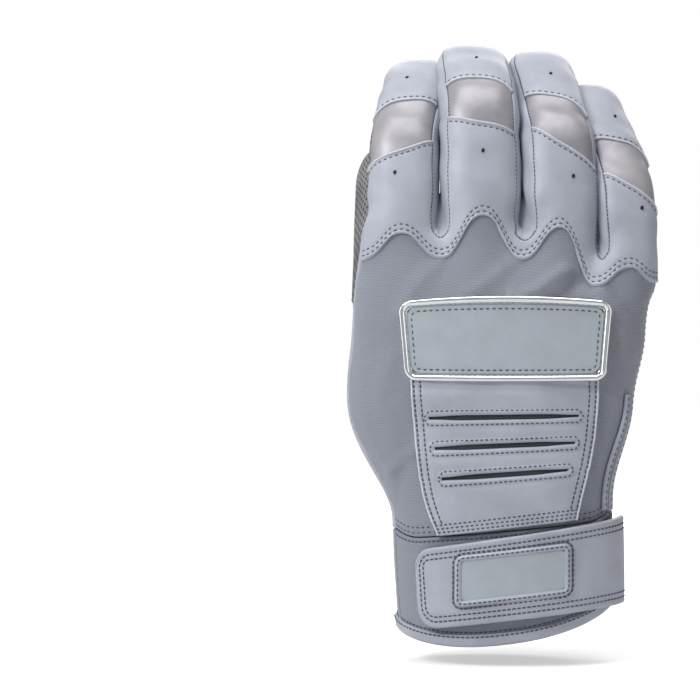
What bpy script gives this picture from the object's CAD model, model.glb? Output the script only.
import math

import bpy
import numpy as np
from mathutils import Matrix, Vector
from mathutils.bvhtree import BVHTree


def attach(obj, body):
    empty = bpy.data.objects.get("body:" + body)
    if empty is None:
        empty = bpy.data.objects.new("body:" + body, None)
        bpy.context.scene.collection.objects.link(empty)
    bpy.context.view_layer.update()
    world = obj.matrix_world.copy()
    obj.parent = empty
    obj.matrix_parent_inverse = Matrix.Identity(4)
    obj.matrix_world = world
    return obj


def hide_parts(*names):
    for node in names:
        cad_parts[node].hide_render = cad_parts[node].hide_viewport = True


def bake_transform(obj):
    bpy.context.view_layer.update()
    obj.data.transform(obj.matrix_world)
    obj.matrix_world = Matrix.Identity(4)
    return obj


# Batting glove for the right hand, in sewn leather, knit and moulded trim
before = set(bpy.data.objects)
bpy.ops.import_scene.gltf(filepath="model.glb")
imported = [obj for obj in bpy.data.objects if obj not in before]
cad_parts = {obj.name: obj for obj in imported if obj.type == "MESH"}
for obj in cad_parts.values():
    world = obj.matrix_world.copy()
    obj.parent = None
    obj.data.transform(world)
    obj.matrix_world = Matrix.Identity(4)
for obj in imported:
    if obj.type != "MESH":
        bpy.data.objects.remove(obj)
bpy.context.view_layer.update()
MM = 0.001

# Camera: straight at the back of the hand, with the glove right of the middle of the picture
LENS = 135
DISTANCE = 0.916
CAMERA_AT = (0.0, -DISTANCE, 0.1003)
CAMERA_AIM = (-0.0533, 0.0, 0.1003)
FLOOR_Z = -0.0075


def smooth(t):
    t = np.clip(t, 0.0, 1.0)
    return t * t * (3 - 2 * t)


def mix(a, b, t):
    return a + (b - a) * t


def power(v, e):
    return np.sign(v) * np.abs(v) ** e


def unit(v):
    return v / np.maximum(np.linalg.norm(v, axis=-1, keepdims=True), 1e-9)


# Hand form in millimetres: height, left, right, back, palm, squareness
STATIONS = np.array([
    (-12, 35.6, 38, 23, 23, 2.2),
    (45, 38.4, 38, 23, 24, 2.3),
    (82, 54.3, 45, 19.5, 27, 2.5),
    (106, 52.5, 49, 18, 21.5, 2.9),
    (140, 49.5, 54.1, 14.2, 14.1, 4),
    (170, 49.5, 54.1, 14.2, 14.1, 4),
])
CUFF_SLOPE = 0.125
SLOPE_FADE = (31.5, 91.0)


def station(z):
    z = np.asarray(z, float)
    k = np.searchsorted(STATIONS[1:-1, 0], z, side="left")
    low, high = STATIONS[k], STATIONS[k + 1]
    t = smooth((z - low[..., 0]) / (high[..., 0] - low[..., 0]))
    return mix(low, high, t[..., None])


def slope(z):
    return CUFF_SLOPE * (1 - smooth((z - SLOPE_FADE[0]) / (SLOPE_FADE[1] - SLOPE_FADE[0])))


def hand_point(angle, z):
    angle, z = np.broadcast_arrays(np.asarray(angle, float), np.asarray(z, float))
    form = station(z)
    left, right, back, palm, square = (form[..., i] for i in range(1, 6))
    e = 2 / square
    c, s = np.cos(np.radians(angle)), np.sin(np.radians(angle))
    x = (right - left) / 2 + (left + right) / 2 * power(c, e)
    y = np.where(s > 0, palm, back) * power(s, e)
    return np.stack([x, y, z + x * slope(z)], -1)


# Fingers: each has a spine of straight runs and bends that starts at its knuckle. Seams across the
# back are given by the height where they are seen, corners by the angles where the back panel ends
SPINE_CLEAR = 1
TIP_BEND_RADIUS = 14
BELOW = -100.0


def finger(name, at, size, joint_size, runs, tilts, turn, seams, slants, corners, swell, lean):
    x, forward, z = at
    f = dict(name=name, x=x, z=z, slants=slants, corners=corners, swell=swell, lean=lean)
    f["width"], f["depth"] = size
    f["joint_width"], f["joint_depth"] = joint_size
    f["pip_z"], f["dip_z"] = seams
    parts = [("line", 0.0, 0.0, BELOW, BELOW, 0.0)]
    y = zz = tilt = length = 0.0

    def arc(radius, degrees):
        nonlocal y, zz, tilt, length
        parts.append(("arc", tilt, y, zz, length, radius))
        end = tilt + math.radians(degrees)
        y += radius * (math.cos(tilt) - math.cos(end))
        zz += radius * (math.sin(end) - math.sin(tilt))
        length += radius * math.radians(degrees)
        tilt = end

    def line(run):
        nonlocal y, zz, length
        parts.append(("line", tilt, y, zz, length, 0.0))
        y += run * math.sin(tilt)
        zz += run * math.cos(tilt)
        length += run

    arc(f["depth"] / 2 + SPINE_CLEAR, tilts[0])
    line(runs[0])
    f["joint"] = length
    arc(f["joint_depth"] / 2 + SPINE_CLEAR, tilts[1] - tilts[0])
    f["joint_end"] = length
    line(runs[1])
    arc(TIP_BEND_RADIUS, tilts[2] - tilts[1])
    line(runs[2])
    f["end"] = length
    f["parts"] = parts
    t = math.radians(turn)
    f["origin"] = np.array([x, forward, z])
    f["across"] = np.array([math.cos(t), math.sin(t), 0.0])
    f["palmward"] = np.array([-math.sin(t), math.cos(t), 0.0])
    f["along"] = np.array([0.0, 0.0, 1.0])
    return f


FINGERS = [
    finger("index", at=(-34.7, 0, 146), size=(22.8, 22.6), joint_size=(22.2, 21.6),
           runs=(18.3, 16.8, 22.3), tilts=(13, 42, 54), turn=-2.5, seams=(169, 187.5),
           slants=(4.0, 2.6), corners=(200, 322), swell=0.85, lean=3.0),
    finger("middle", at=(-7.7, -0.5, 150), size=(25.6, 24.6), joint_size=(25.0, 23.1),
           runs=(25, 11.5, 19.3), tilts=(12, 48, 58), turn=4, seams=(179.5, 195),
           slants=(-2.4, -1.6), corners=(219, 322), swell=0.95, lean=-1.2),
    finger("ring", at=(19.9, -0.5, 147), size=(23.6, 24.2), joint_size=(23.2, 22.4),
           runs=(17.5, 17.2, 24.8), tilts=(12, 44, 51), turn=11, seams=(171, 188.6),
           slants=(-6.0, -5.0), corners=(222, 323), swell=0.85, lean=-0.6),
    finger("pinky", at=(42.6, 0.5, 136), size=(19.8, 20.8), joint_size=(19.8, 20.2),
           runs=(14.5, 13, 29.8), tilts=(12, 35, 43), turn=17, seams=(155.5, 172),
           slants=(-5.5, -4.5), corners=(222, 340), swell=0.45, lean=-3.2),
]
CROTCH_DIPS = (7.5, 10.0, 9.5)
THUMB_AT, THUMB_ALONG, THUMB_TURN = (-42.2, 16.2, 88.0), (0.02, 0.2, 0.98), 14
THUMB_JOINT, THUMB_RUN = 46.0, 37.0
THUMB_CURVE, THUMB_TILT = 11.75, math.radians(9)


def make_thumb():
    along = unit(np.array(THUMB_ALONG))
    t = math.radians(THUMB_TURN)
    facing = np.array([-math.sin(t), math.cos(t), 0.0])
    palmward = unit(facing - along * facing.dot(along))
    f = dict(name="thumb", width=24.0, depth=24.0, joint_width=23.0, joint_depth=22.4,
             joint=THUMB_JOINT, tuck=(13.0, -15.0), tip=0.92)
    f["joint_end"] = THUMB_JOINT + THUMB_CURVE * THUMB_TILT
    f["end"] = f["joint_end"] + THUMB_RUN
    y = THUMB_CURVE * (1 - math.cos(THUMB_TILT))
    z = THUMB_JOINT + THUMB_CURVE * math.sin(THUMB_TILT)
    f["parts"] = [
        ("line", 0.0, 0.0, BELOW, BELOW, 0.0),
        ("line", 0.0, 0.0, 0.0, 0.0, 0.0),
        ("arc", 0.0, 0.0, THUMB_JOINT, THUMB_JOINT, THUMB_CURVE),
        ("line", THUMB_TILT, y, z, f["joint_end"], 0.0),
    ]
    f.update(origin=np.array(THUMB_AT), along=along, palmward=palmward)
    f["across"] = np.cross(palmward, along)
    return f


THUMB = make_thumb()


def spine(f, s):
    s = np.asarray(s, float)
    y, z, tilt = np.zeros_like(s), np.zeros_like(s), np.zeros_like(s)
    for kind, tilt0, y0, z0, start, radius in f["parts"]:
        here = s >= start
        run = s - start
        if kind == "line":
            pt = np.full_like(s, tilt0)
            py, pz = y0 + run * math.sin(tilt0), z0 + run * math.cos(tilt0)
        else:
            pt = tilt0 + run / radius
            py = y0 + radius * (math.cos(tilt0) - np.cos(pt))
            pz = z0 + radius * (np.sin(pt) - math.sin(tilt0))
        y, z, tilt = np.where(here, py, y), np.where(here, pz, z), np.where(here, pt, tilt)
    return y, z, tilt


def spine_point(f, s):
    y, z, _ = spine(f, float(s))
    return f["origin"] + f["palmward"] * float(y) + f["along"] * float(z)


# Finger walls: shares of the joint's size at the tip, the rounded end, the swelling of the sides
# above the knuckle, and how far down the thumb tucks into the hand
FINGER_SQUARE = 2.7
TIP_WIDTH, TIP_DEPTH, TIP_SHIFT = 0.95, 0.86, 0.58
DOME, DOME_POWER, DOME_NARROW = 1.1, 2.2, 0.6
SWELL_FROM, SWELL_RUN = -3, 8
TUCK_FROM, TUCK_RUN = -24, 58


def tube(f, angle, s, swollen=True):
    angle, s = np.broadcast_arrays(np.asarray(angle, float), np.asarray(s, float))
    y, z, tilt = spine(f, s)
    t = np.clip(s / f["joint"], 0, 1)
    u = smooth((s - f["joint"]) / (f["end"] - f["joint"]))
    w = mix(f["width"], f["joint_width"], t)
    w = mix(w, f["joint_width"] * f.get("tip", TIP_WIDTH), u) / 2
    d = mix(mix(f["depth"], f["joint_depth"], t), f["joint_depth"] * TIP_DEPTH, u) / 2
    if swollen:
        w = w + f.get("swell", 0.0) * smooth((s - SWELL_FROM) / SWELL_RUN)
    dome = d * DOME
    into = np.clip((s - (f["end"] - dome)) / dome, 0, 1)
    rounded = np.sqrt(np.maximum(0, 1 - into ** DOME_POWER))
    tip_rise = TIP_SHIFT * d * (1 - rounded)
    w, d = mix(w * DOME_NARROW, w, rounded), d * rounded
    e = 2 / FINGER_SQUARE
    ox = w * power(np.cos(np.radians(angle)), e) + f.get("lean", 0.0) * u
    oy = d * power(np.sin(np.radians(angle)), e) - tip_rise
    if "tuck" in f:
        sunk = 1 - smooth((s - TUCK_FROM) / TUCK_RUN)
        ox, y = ox + f["tuck"][0] * sunk, y + f["tuck"][1] * sunk
    py = (y + oy * np.cos(tilt))[..., None]
    pz = (z - oy * np.sin(tilt))[..., None]
    return f["origin"] + ox[..., None] * f["across"] + py * f["palmward"] + pz * f["along"]


# The run along a finger at which its surface reaches a height
def reach(f, angle, height):
    s = np.linspace(-30, f["end"], 1200)
    z = tube(f, angle, s)[:, 2]
    top = int(np.argmax(z)) + 1
    return float(np.interp(height, z[:top], s[:top]))


def knuckle_line(x):
    x = np.asarray(x, float)
    z = np.full_like(x, FINGERS[0]["z"])
    for a, b, deep in zip(FINGERS[:-1], FINGERS[1:], CROTCH_DIPS):
        share = (x - a["x"]) / (b["x"] - a["x"])
        dip = deep * smooth(1 - np.abs(2 * share - 1))
        z = np.where(x > a["x"], mix(a["z"], b["z"], smooth(share)) - dip, z)
    return np.where(x > FINGERS[-1]["x"], FINGERS[-1]["z"], z)


def crotch_share(x):
    x = np.asarray(x, float)
    share = np.zeros_like(x)
    for a, b in zip(FINGERS[:-1], FINGERS[1:]):
        t = (x - a["x"]) / (b["x"] - a["x"])
        share = np.where((t > 0) & (t < 1), smooth(1 - np.abs(2 * t - 1)), share)
    return share


def from_side(angle):
    a = np.mod(angle, 360)
    return np.minimum(np.minimum(a, 360 - a), np.abs(a - 180))


SIDE_DROP, SIDE_FROM, SIDE_FADE = 5, 8, 22


def side_drop(angle):
    return SIDE_DROP * (1 - smooth((from_side(angle) - SIDE_FROM) / SIDE_FADE))


# Where the hand's leather stops and each finger's begins, on the back and on the palm
BACK_CUT, PALM_CUT = 3, -2


def back_cut(x):
    return knuckle_line(x) + BACK_CUT * (1 - crotch_share(x))


def palm_cut(x):
    return knuckle_line(x) + PALM_CUT


# The hand form that every panel is laid on: palm and fingers grown together
def rings_mesh(rings):
    n = len(rings[0])
    points = np.concatenate(rings + [rings[0].mean(0)[None], rings[-1].mean(0)[None]])
    faces = []
    for j in range(len(rings) - 1):
        for i in range(n):
            k = (i + 1) % n
            faces.append((j * n + i, j * n + k, (j + 1) * n + k, (j + 1) * n + i))
    first, last, top = len(points) - 2, len(points) - 1, (len(rings) - 1) * n
    for i in range(n):
        k = (i + 1) % n
        faces.append((k, i, first))
        faces.append((top + i, top + k, last))
    return points, faces


FORM_FLOOR, RING_COUNT = -16, 90
KNUCKLE_FADE, KNUCKLE_FLAT = 22, (0.12, 0.3)
CAP_SHARES, CAP_RISE = (0.92, 0.75, 0.5, 0.2, 0.02), 1.2


def hand_rings():
    angle = np.arange(0, 360, 2.0)
    x_top = hand_point(angle, 150)[:, 0]
    top = knuckle_line(x_top) - side_drop(angle)
    flat = mix(*KNUCKLE_FLAT, crotch_share(x_top))
    rings = []
    for v in np.linspace(0, 1, RING_COUNT):
        z = mix(FORM_FLOOR, top, v)
        p = hand_point(angle, z)
        p[:, 1] *= 1 - smooth((z - (top - KNUCKLE_FADE)) / KNUCKLE_FADE) * flat
        rings.append(p)
    rim = rings[-1]
    for share in CAP_SHARES:
        p = rim.copy()
        p[:, 1] *= share
        p[:, 2] += (1 - share) * CAP_RISE
        rings.append(p)
    return rings


VOXEL = 0.9
SETTLE = 14
SOFT_FROM, SOFT_TO, SOFT_FADE = 118, 150, 12


def grow_form():
    shells = [rings_mesh(hand_rings())]
    angle = np.arange(0, 360, 6.0)
    for f in FINGERS:
        runs = np.linspace(FORM_FLOOR, f["end"], RING_COUNT)
        shells.append(rings_mesh([tube(f, angle, np.full_like(angle, s), False) for s in runs]))
    faces, count = [], 0
    for p, q in shells:
        faces += [tuple(i + count for i in face) for face in q]
        count += len(p)
    points = np.concatenate([p for p, _ in shells])
    mesh = bpy.data.meshes.new("hand_form")
    mesh.from_pydata((points * MM).tolist(), [], faces)
    form = bpy.data.objects.new("hand_form", mesh)
    bpy.context.scene.collection.objects.link(form)
    bpy.ops.object.select_all(action="DESELECT")
    bpy.context.view_layer.objects.active = form
    form.select_set(True)
    remesh = form.modifiers.new("one skin", "REMESH")
    remesh.mode = "VOXEL"
    remesh.voxel_size = VOXEL * MM
    bpy.ops.object.modifier_apply(modifier=remesh.name)
    mesh = form.data
    n = len(mesh.vertices)
    co = np.empty(n * 3)
    mesh.vertices.foreach_get("co", co)
    co = co.reshape(-1, 3) / MM
    edges = np.empty(len(mesh.edges) * 2, int)
    mesh.edges.foreach_get("vertices", edges)
    a, b = edges.reshape(-1, 2).T
    degree = np.maximum(np.bincount(a, minlength=n) + np.bincount(b, minlength=n), 1)
    polygons = [tuple(p.vertices) for p in mesh.polygons]
    high = co[:, 2]
    knuckles = smooth((high - SOFT_FROM) / SOFT_FADE) * (1 - smooth((high - SOFT_TO) / SOFT_FADE))
    for step in range(SETTLE * 4):
        weight = 0.5 if step < SETTLE else 0.5 * knuckles[:, None]
        sums = [np.bincount(a, co[b, i], n) + np.bincount(b, co[a, i], n) for i in range(3)]
        co = co + (np.stack(sums, -1) / degree[:, None] - co) * weight
    bpy.data.objects.remove(form)
    return BVHTree.FromPolygons(co.tolist(), polygons)


FORM = grow_form()


def lay(points):
    flat = points.reshape(-1, 3)
    out = np.array([FORM.find_nearest(Vector(p))[0] for p in flat])
    return out.reshape(points.shape)


def on_back(x, z, side=-1):
    x, z = np.broadcast_arrays(np.asarray(x, float), np.asarray(z, float))
    out = np.empty(x.shape + (3,))
    start, toward = 80.0 * side, Vector((0, -side, 0))
    for i in np.ndindex(x.shape):
        hit = FORM.ray_cast(Vector((x[i], start, z[i])), toward)[0]
        if hit is None:
            hit = FORM.find_nearest(Vector((x[i], 6.0 * side, z[i])))[0]
        out[i] = hit
    return out


# Panels: a grid of points on the form gets a thickness, rolled edges and sewn grooves
EDGE_STEPS = np.array([0, 0.12, 0.3, 0.55, 0.85, 1.2, 1.6, 2.05, 2.5, 3.0, 3.6])


def steps(length, pitch=1.2, low=True, high=True, extra=()):
    scale = min(1.0, length / 9.0)
    a = EDGE_STEPS * scale if low else np.array([0.0])
    b = length - (EDGE_STEPS[::-1] * scale if high else np.array([0.0]))
    count = max(2, int(math.ceil((b[0] - a[-1]) / pitch)) + 1)
    values = np.concatenate([a, np.linspace(a[-1], b[0], count)[1:-1], b, np.asarray(extra, float)])
    values = np.unique(np.round(values, 4))
    return values / length


def settle(grid, times):
    for _ in range(times):
        g = grid.copy()
        g[1:-1] = grid[1:-1] * 0.5 + (grid[2:] + grid[:-2]) * 0.25
        h = g.copy()
        h[:, 1:-1] = g[:, 1:-1] * 0.5 + (g[:, 2:] + g[:, :-2]) * 0.25
        grid = h
    return grid


def run_lengths(grid, axis):
    d = np.linalg.norm(np.diff(grid, axis=axis), axis=-1)
    zero = np.zeros_like(np.take(d, [0], axis=axis))
    return np.concatenate([zero, np.cumsum(d, axis=axis)], axis=axis)


def line_run(line):
    return run_lengths(line[None], 1)[0]


def points_at(at, run, points):
    return np.stack([np.interp(at, run, points[:, i]) for i in range(3)], -1)


def turned(grid):
    return np.cross(np.gradient(grid, axis=1), np.gradient(grid, axis=0))


def grid_normals(grid, inside):
    n = unit(turned(grid))
    return -n if np.mean(np.sum(n * (grid - np.asarray(inside)), -1)) < 0 else n


SHARP = math.radians(70)


def link_mesh(name, points, faces, material, uv=None):
    mesh = bpy.data.meshes.new(name)
    mesh.from_pydata((np.asarray(points) * MM).tolist(), [], faces)
    mesh.polygons.foreach_set("use_smooth", np.ones(len(mesh.polygons), bool))
    mesh.materials.append(material)
    if uv is not None:
        layer = mesh.uv_layers.new(name="cloth")
        index = np.empty(len(mesh.loops), int)
        mesh.loops.foreach_get("vertex_index", index)
        layer.data.foreach_set("uv", np.asarray(uv, np.float32)[index].ravel())
    mesh.update()
    mesh.set_sharp_from_angle(angle=SHARP)
    obj = bpy.data.objects.new(name, mesh)
    bpy.context.scene.collection.objects.link(obj)
    return obj


PANELS = {}


def rolled(distance, radius):
    q = 1 - np.clip(distance / radius, 0, 1)
    return radius * (1 - np.sqrt(1 - q * q))


GROOVE_WIDTH, LEAST_WALL = 0.42, 0.25


def panel(name, grid, inside, material, thick=1.1, lift=0.4, roll=(0.6, 0.6, 0.6, 0.6),
          grooves=(), relief=0.0, keep=None, uv=None, settles=2, normal=None):
    grid = settle(grid, settles)
    rows, columns = grid.shape[:2]
    if normal is None:
        normal = grid_normals(grid, inside)
    across, up = run_lengths(grid, 1), run_lengths(grid, 0)
    from_edge = [across, across[:, -1:] - across, up, up[-1:] - up]
    drop = np.zeros((rows, columns))
    for d, r in zip(from_edge, roll):
        if r > 0:
            drop = np.maximum(drop, rolled(d, r))
    for edge, distance, depth in grooves:
        drop = drop + depth * np.exp(-(((from_edge[edge] - distance) / GROOVE_WIDTH) ** 2))
    height = lift - drop + relief
    outer = grid + normal * height[..., None]
    inner = grid + normal * np.minimum(lift - thick, height - LEAST_WALL)[..., None]
    if keep is None:
        keep = np.ones((rows - 1, columns - 1), bool)
    flip = np.sum(turned(grid) * normal) < 0
    count = rows * columns
    padded = np.pad(keep, 1)
    faces = []

    def add(*f):
        faces.append(f[::-1] if flip else f)

    for j, i in np.argwhere(keep).tolist():
        a = j * columns + i
        b, c, d = a + 1, a + columns + 1, a + columns
        add(a, b, c, d)
        add(count + d, count + c, count + b, count + a)
        walls = ((j, i + 1, a, b), (j + 2, i + 1, c, d), (j + 1, i, d, a), (j + 1, i + 2, b, c))
        for row, column, p, q in walls:
            if not padded[row, column]:
                add(count + p, count + q, q, p)
    points = np.concatenate([outer.reshape(-1, 3), inner.reshape(-1, 3)])
    if uv is None:
        uv = np.stack([across - across.mean(), up], -1)
    uv = np.concatenate([uv.reshape(-1, 2)] * 2)
    used = np.zeros(len(points), bool)
    for f in faces:
        used[list(f)] = True
    if not used.all():
        renumber = np.cumsum(used) - 1
        faces = [tuple(renumber[list(f)]) for f in faces]
        points, uv = points[used], uv[used]
    PANELS[name] = dict(grid=grid, outer=outer, flat=grid + normal * lift, normal=normal,
                        from_edge=from_edge)
    return link_mesh(name, points, faces, material, uv)


# A line on a panel's face at a distance from one of its edges, shortened at both ends
def inset_line(name, edge, distance, trim=(1.0, 1.0)):
    p = PANELS[name]
    outer, normal, d = p["outer"], p["normal"], p["from_edge"][edge]
    if edge >= 2:
        outer, normal, d = outer.transpose(1, 0, 2), normal.transpose(1, 0, 2), d.T
    points, normals = [], []
    for row, run in enumerate(d):
        order = np.argsort(run)
        points.append(points_at(distance, run[order], outer[row, order]))
        normals.append(points_at(distance, run[order], normal[row, order]))
    points, normals = np.array(points), np.array(normals)
    run = line_run(points)
    if run[-1] - trim[0] - trim[1] < 2:
        return points[:0], normals[:0]
    at = np.linspace(trim[0], run[-1] - trim[1], max(4, int(run[-1] / 0.5)))
    return points_at(at, run, points), unit(points_at(at, run, normals))


# Sewing thread: short capsules that dip into the leather at both ends
STITCH_PITCH = 2.15
STITCH_LENGTH = 1.5
STITCH_RADIUS = 0.22
FINE_STITCH = (1.5, 1.5, 0.25)
LINE_STITCH = (1.7, 1.75, 0.26)
STITCH_SHARES = (-1, -0.55, 0, 0.55, 1)
STITCH_LIFTS = np.array([-1.1, 0.25, 0.55, 0.25, -1.1])
STITCH_FLAT = 0.8
SIDES = 6


def stitches(name, lines, pitch=STITCH_PITCH, length=STITCH_LENGTH, radius=STITCH_RADIUS):
    points, faces = [], []
    turns = [2 * math.pi * k / SIDES for k in range(SIDES)]
    for line, normals in lines:
        if len(line) < 2:
            continue
        run = line_run(line)
        total = run[-1]
        number = max(1, int(round(total / pitch)))
        half = length / 2 * min(1.0, (total / number) / pitch)
        for k in range(number):
            middle = (k + 0.5) * total / number
            base = len(points)
            at = np.clip([middle + half * share for share in STITCH_SHARES], 0, total)
            centre = points_at(at, run, line)
            n = unit(points_at(middle, run, normals))
            b = np.cross(unit(centre[4] - centre[0]), n)
            centre = centre + np.outer(STITCH_LIFTS * radius, n)
            points.append(centre[0])
            for j in (1, 2, 3):
                for q in turns:
                    flat = n * (math.sin(q) * radius * STITCH_FLAT)
                    points.append(centre[j] + b * (math.cos(q) * radius) + flat)
            points.append(centre[4])
            last = len(points) - 1
            for i in range(SIDES):
                m = (i + 1) % SIDES
                faces.append((base, base + 1 + m, base + 1 + i))
                for j in range(2):
                    r0 = base + 1 + j * SIDES
                    faces.append((r0 + i, r0 + m, r0 + SIDES + m, r0 + SIDES + i))
                r0 = base + 1 + 2 * SIDES
                faces.append((r0 + i, r0 + m, last))
    return link_mesh(name, np.array(points), [f[::-1] for f in faces], THREAD)


# Turned edges: a thin round fold of leather along a line
def turned_edge(name, lines, radius):
    points, faces = [], []
    for line, normals in lines:
        sides = unit(np.cross(unit(np.gradient(line, axis=0)), normals))
        base, count = len(points), len(line)
        for p, n, b in zip(line, normals, sides):
            for k in range(SIDES):
                q = 2 * math.pi * k / SIDES
                points.append(p + radius * (b * math.cos(q) + n * math.sin(q)))
        for j in range(count - 1):
            for k in range(SIDES):
                m, r0 = (k + 1) % SIDES, base + j * SIDES
                faces.append((r0 + k, r0 + SIDES + k, r0 + SIDES + m, r0 + m))
        faces.append(tuple(base + k for k in range(SIDES)))
        faces.append(tuple(base + (count - 1) * SIDES + k for k in reversed(range(SIDES))))
    return link_mesh(name, np.array(points), faces, TURNED)


# Embossed palm: dimples in swirling rows
DIMPLE = np.array([2.45, 2.8])


# Materials
def linear(r, g, b):
    values = []
    for v in (r, g, b):
        v = v / 255
        values.append(v / 12.92 if v <= 0.04045 else ((v + 0.055) / 1.055) ** 2.4)
    return (*values, 1.0)


def node(tree, kind, inputs=None, **settings):
    n = tree.nodes.new(kind)
    for key, value in settings.items():
        setattr(n, key, value)
    for key, value in (inputs or {}).items():
        if isinstance(value, bpy.types.NodeSocket):
            tree.links.new(value, n.inputs[key])
        else:
            n.inputs[key].default_value = value
    return n


def new_material(name, rough, **sockets):
    m = bpy.data.materials.new(name)
    m.use_nodes = True
    tree = m.node_tree
    shader = tree.nodes["Principled BSDF"]
    shader.inputs["Roughness"].default_value = rough
    for key, value in sockets.items():
        shader.inputs[key.replace("_", " ")].default_value = value
    return m, tree, shader


def object_place(tree):
    return node(tree, "ShaderNodeTexCoord").outputs["Object"]


def cloth_place(tree):
    return node(tree, "ShaderNodeUVMap", uv_map="cloth").outputs[0]


def maths(tree, operation, *values):
    return node(tree, "ShaderNodeMath", dict(enumerate(values)), operation=operation).outputs[0]


def vectors(tree, operation, *values, output=0):
    inputs = dict(enumerate(values))
    return node(tree, "ShaderNodeVectorMath", inputs, operation=operation).outputs[output]


def noise(tree, place, scale, detail, roughness=0.5):
    inputs = {"Vector": place, "Scale": scale, "Detail": detail, "Roughness": roughness}
    return node(tree, "ShaderNodeTexNoise", inputs).outputs[0]


def ramp(tree, value, low, high):
    return node(tree, "ShaderNodeMapRange", {"Value": value, "From Min": low, "From Max": high},
                interpolation_type="SMOOTHSTEP").outputs[0]


def colour_mix(tree, factor, dark, light):
    return node(tree, "ShaderNodeMix", {0: factor, 6: dark, 7: light}, data_type="RGBA").outputs[2]


def paint(tree, shader, factor, dark, light):
    tree.links.new(colour_mix(tree, factor, dark, light), shader.inputs["Base Color"])


def add_bump(tree, shader, height, strength, distance):
    inputs = {"Height": height, "Strength": strength, "Distance": distance}
    tree.links.new(node(tree, "ShaderNodeBump", inputs).outputs[0], shader.inputs["Normal"])


def vary_gloss(tree, shader, value, low, high):
    gloss = node(tree, "ShaderNodeMapRange", {"Value": value, "To Min": low, "To Max": high})
    tree.links.new(gloss.outputs[0], shader.inputs["Roughness"])


def leather_material(name, dark, light, rough, grain=1300, strength=0.22, **sockets):
    m, tree, shader = new_material(name, rough, **sockets)
    place = object_place(tree)
    patches = noise(tree, place, 55.0, 4.0, 0.6)
    pores = node(tree, "ShaderNodeTexVoronoi", {"Vector": place, "Scale": float(grain)},
                 feature="DISTANCE_TO_EDGE").outputs["Distance"]
    creases = noise(tree, place, 420.0, 5.0, 0.65)
    paint(tree, shader, ramp(tree, patches, 0.3, 0.7), linear(*dark), linear(*light))
    height = maths(tree, "ADD", ramp(tree, pores, 0.0, 0.12), creases)
    add_bump(tree, shader, height, strength, 0.00012)
    vary_gloss(tree, shader, patches, rough - 0.06, rough + 0.08)
    return m


# Knit: ribs across the cloth, posts along it and fine fibres, all in millimetres
def knit_material(name, dark, light, rib, cross, strength):
    m, tree, shader = new_material(name, 0.85, Sheen_Weight=0.25, Sheen_Roughness=0.5)
    uv = cloth_place(tree)
    wander = noise(tree, uv, 0.35, 3.0)
    axes = node(tree, "ShaderNodeSeparateXYZ", {0: uv}).outputs
    shifted = maths(tree, "MULTIPLY_ADD", wander, 0.9, axes[1])
    wave = maths(tree, "SINE", maths(tree, "MULTIPLY", shifted, 2 * math.pi / rib))
    post = maths(tree, "SINE", maths(tree, "MULTIPLY", axes[0], 2 * math.pi / cross))
    height = maths(tree, "MULTIPLY_ADD", post, 0.3, wave)
    fibres = noise(tree, uv, 2.2, 5.0, 0.75)
    tone = maths(tree, "MULTIPLY_ADD", height, 0.22, fibres)
    paint(tree, shader, ramp(tree, tone, 0.15, 0.85), linear(*dark), linear(*light))
    add_bump(tree, shader, height, strength, 0.00015)
    return m


def palm_material():
    m, tree, shader = new_material("palm_leather", 0.55)
    place, uv = object_place(tree), cloth_place(tree)
    size = (float(DIMPLE[0]), float(DIMPLE[1]), 0.0)
    pits = []
    for shift in (0.0, 0.5):
        cell = vectors(tree, "FRACTION", vectors(tree, "ADD", uv, (shift, shift, 0.0)))
        off = vectors(tree, "SUBTRACT", cell, (0.5, 0.5, 0.0))
        radius = vectors(tree, "LENGTH", vectors(tree, "MULTIPLY", off, size), output="Value")
        pits.append(ramp(tree, radius, 0.72, 0.38))
    pit = maths(tree, "MAXIMUM", *pits)
    patches = noise(tree, place, 70.0, 5.0, 0.65)
    fine = noise(tree, place, 900.0, 4.0, 0.7)
    tone = ramp(tree, maths(tree, "MULTIPLY_ADD", fine, 0.5, patches), 0.45, 1.05)
    raised = colour_mix(tree, tone, linear(98, 97, 100), linear(138, 137, 140))
    paint(tree, shader, pit, raised, linear(46, 46, 49))
    add_bump(tree, shader, maths(tree, "MULTIPLY_ADD", pit, -1.0, fine), 0.35, 0.0003)
    return m


def metal_material(name, colour, rough, metallic):
    m, tree, shader = new_material(name, rough, Metallic=metallic)
    wear = noise(tree, object_place(tree), 180.0, 5.0, 0.6)
    clean = linear(*colour)
    worn = tuple(c * 0.93 for c in clean[:3]) + (1.0,)
    paint(tree, shader, ramp(tree, wear, 0.3, 0.7), worn, clean)
    vary_gloss(tree, shader, wear, rough * 0.75, rough * 1.3)
    return m


LEATHER = leather_material("leather", (157, 161, 173), (171, 175, 187), 0.45)
SATIN = leather_material("satin_leather", (140, 139, 145), (164, 161, 166), 0.42, grain=2200,
                         strength=0.12, Metallic=0.3)
PALM = palm_material()
STRETCH = knit_material("stretch_knit", (121, 125, 136), (145, 149, 161), 0.55, 0.5, 0.35)
HEATHER = knit_material("heather_knit", (122, 127, 137), (158, 163, 172), 0.7, 0.7, 0.4)
LINING = knit_material("lining", (96, 98, 105), (118, 121, 128), 1.0, 1.0, 0.3)
LOOP = knit_material("loop_pile", (70, 72, 78), (96, 98, 105), 0.6, 0.6, 0.8)
HOOK = knit_material("hook_tape", (74, 76, 82), (100, 103, 110), 1.2, 1.2, 0.9)
DARK = knit_material("dark_elastic", (38, 40, 46), (58, 61, 69), 0.8, 0.8, 0.5)
THREAD = leather_material("thread", (62, 66, 80), (84, 89, 104), 0.6, grain=3000, strength=0.3)
CHROME = metal_material("bright_trim", (232, 234, 236), 0.1, 1.0)
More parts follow.
